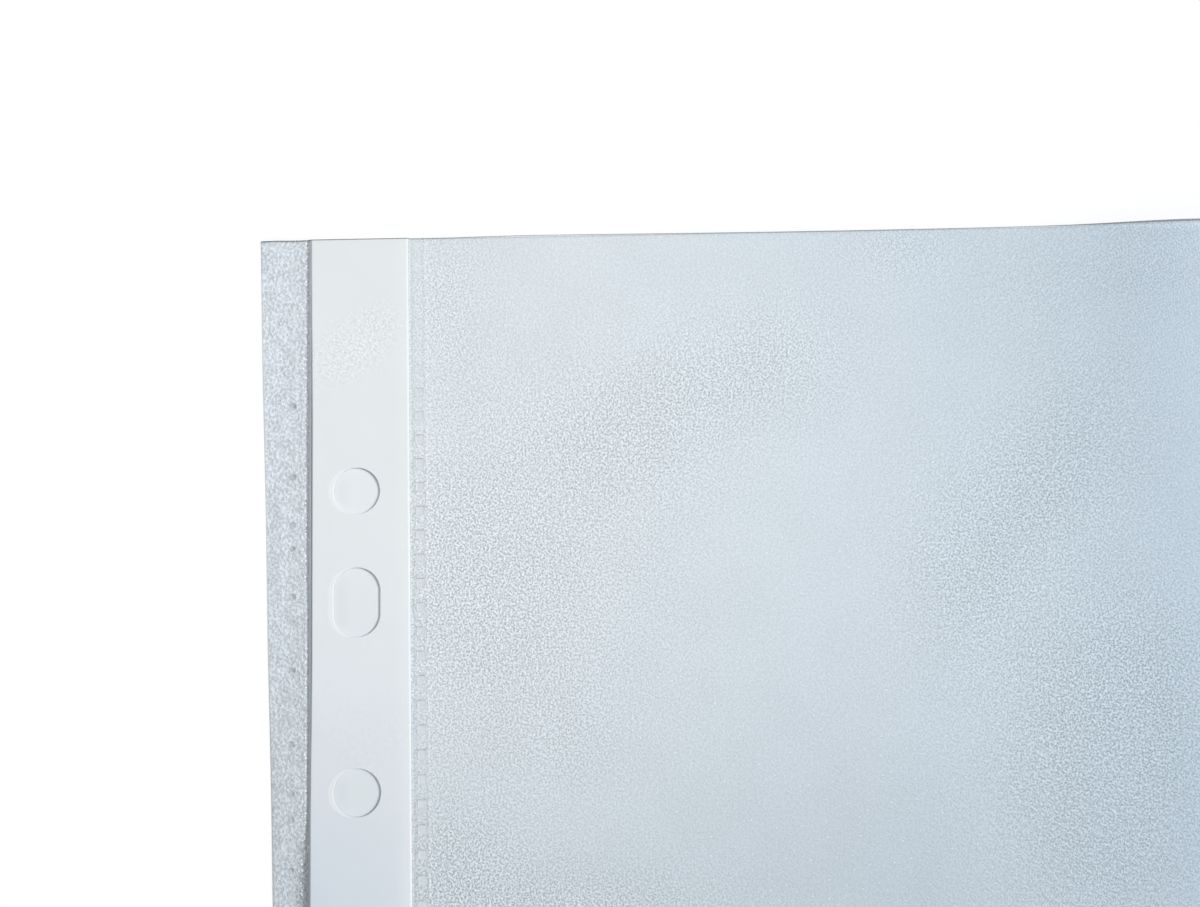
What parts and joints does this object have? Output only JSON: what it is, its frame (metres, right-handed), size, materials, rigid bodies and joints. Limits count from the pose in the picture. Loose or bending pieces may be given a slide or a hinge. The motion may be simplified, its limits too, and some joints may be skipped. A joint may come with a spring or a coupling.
{
  "type": "sheet protector",
  "caption": "Flat translucent plastic pocket for a paper sheet, open along its top edge, with a white punched strip down one side so that it hangs in a ring binder.",
  "frame": {"origin": "middle of the underside of the pocket as it lies flat on a table", "axes": "+X across the pocket, away from the punched strip; +Y up the page to the open mouth; +Z out of the front film"},
  "size_m": [0.2404, 0.31, 0.0006],
  "materials": {
    "film": "translucent film with a fine orange-peel grain",
    "strip": "smooth white plastic strip",
    "weld": "film pressed smooth and clear by the weld"
  },
  "bodies": {
    "binding_edge": {"hole_strip": "strip", "strip_front_film": "film", "strip_back_film": "film"},
    "pocket": {"pocket_front_film": "film", "pocket_back_film": "film", "strip_weld_pads": "weld", "side_weld": "weld", "bottom_weld": "weld"},
    "margin": {"margin_front_film": "film", "margin_back_film": "film", "margin_weld_spots": "weld"}
  },
  "joints": [
    {"name": "page_fold", "type": "hinge", "parent": "binding_edge", "child": "pocket", "pos_m": [-0.09953, 0, 0.00028], "axis": [0, -1, 0], "range_deg": [-100, 100]},
    {"name": "margin_fold", "type": "hinge", "parent": "binding_edge", "child": "margin", "pos_m": [-0.11353, 0, 0.00008], "axis": [0, 1, 0], "range_deg": [-100, 100]}
  ]
}
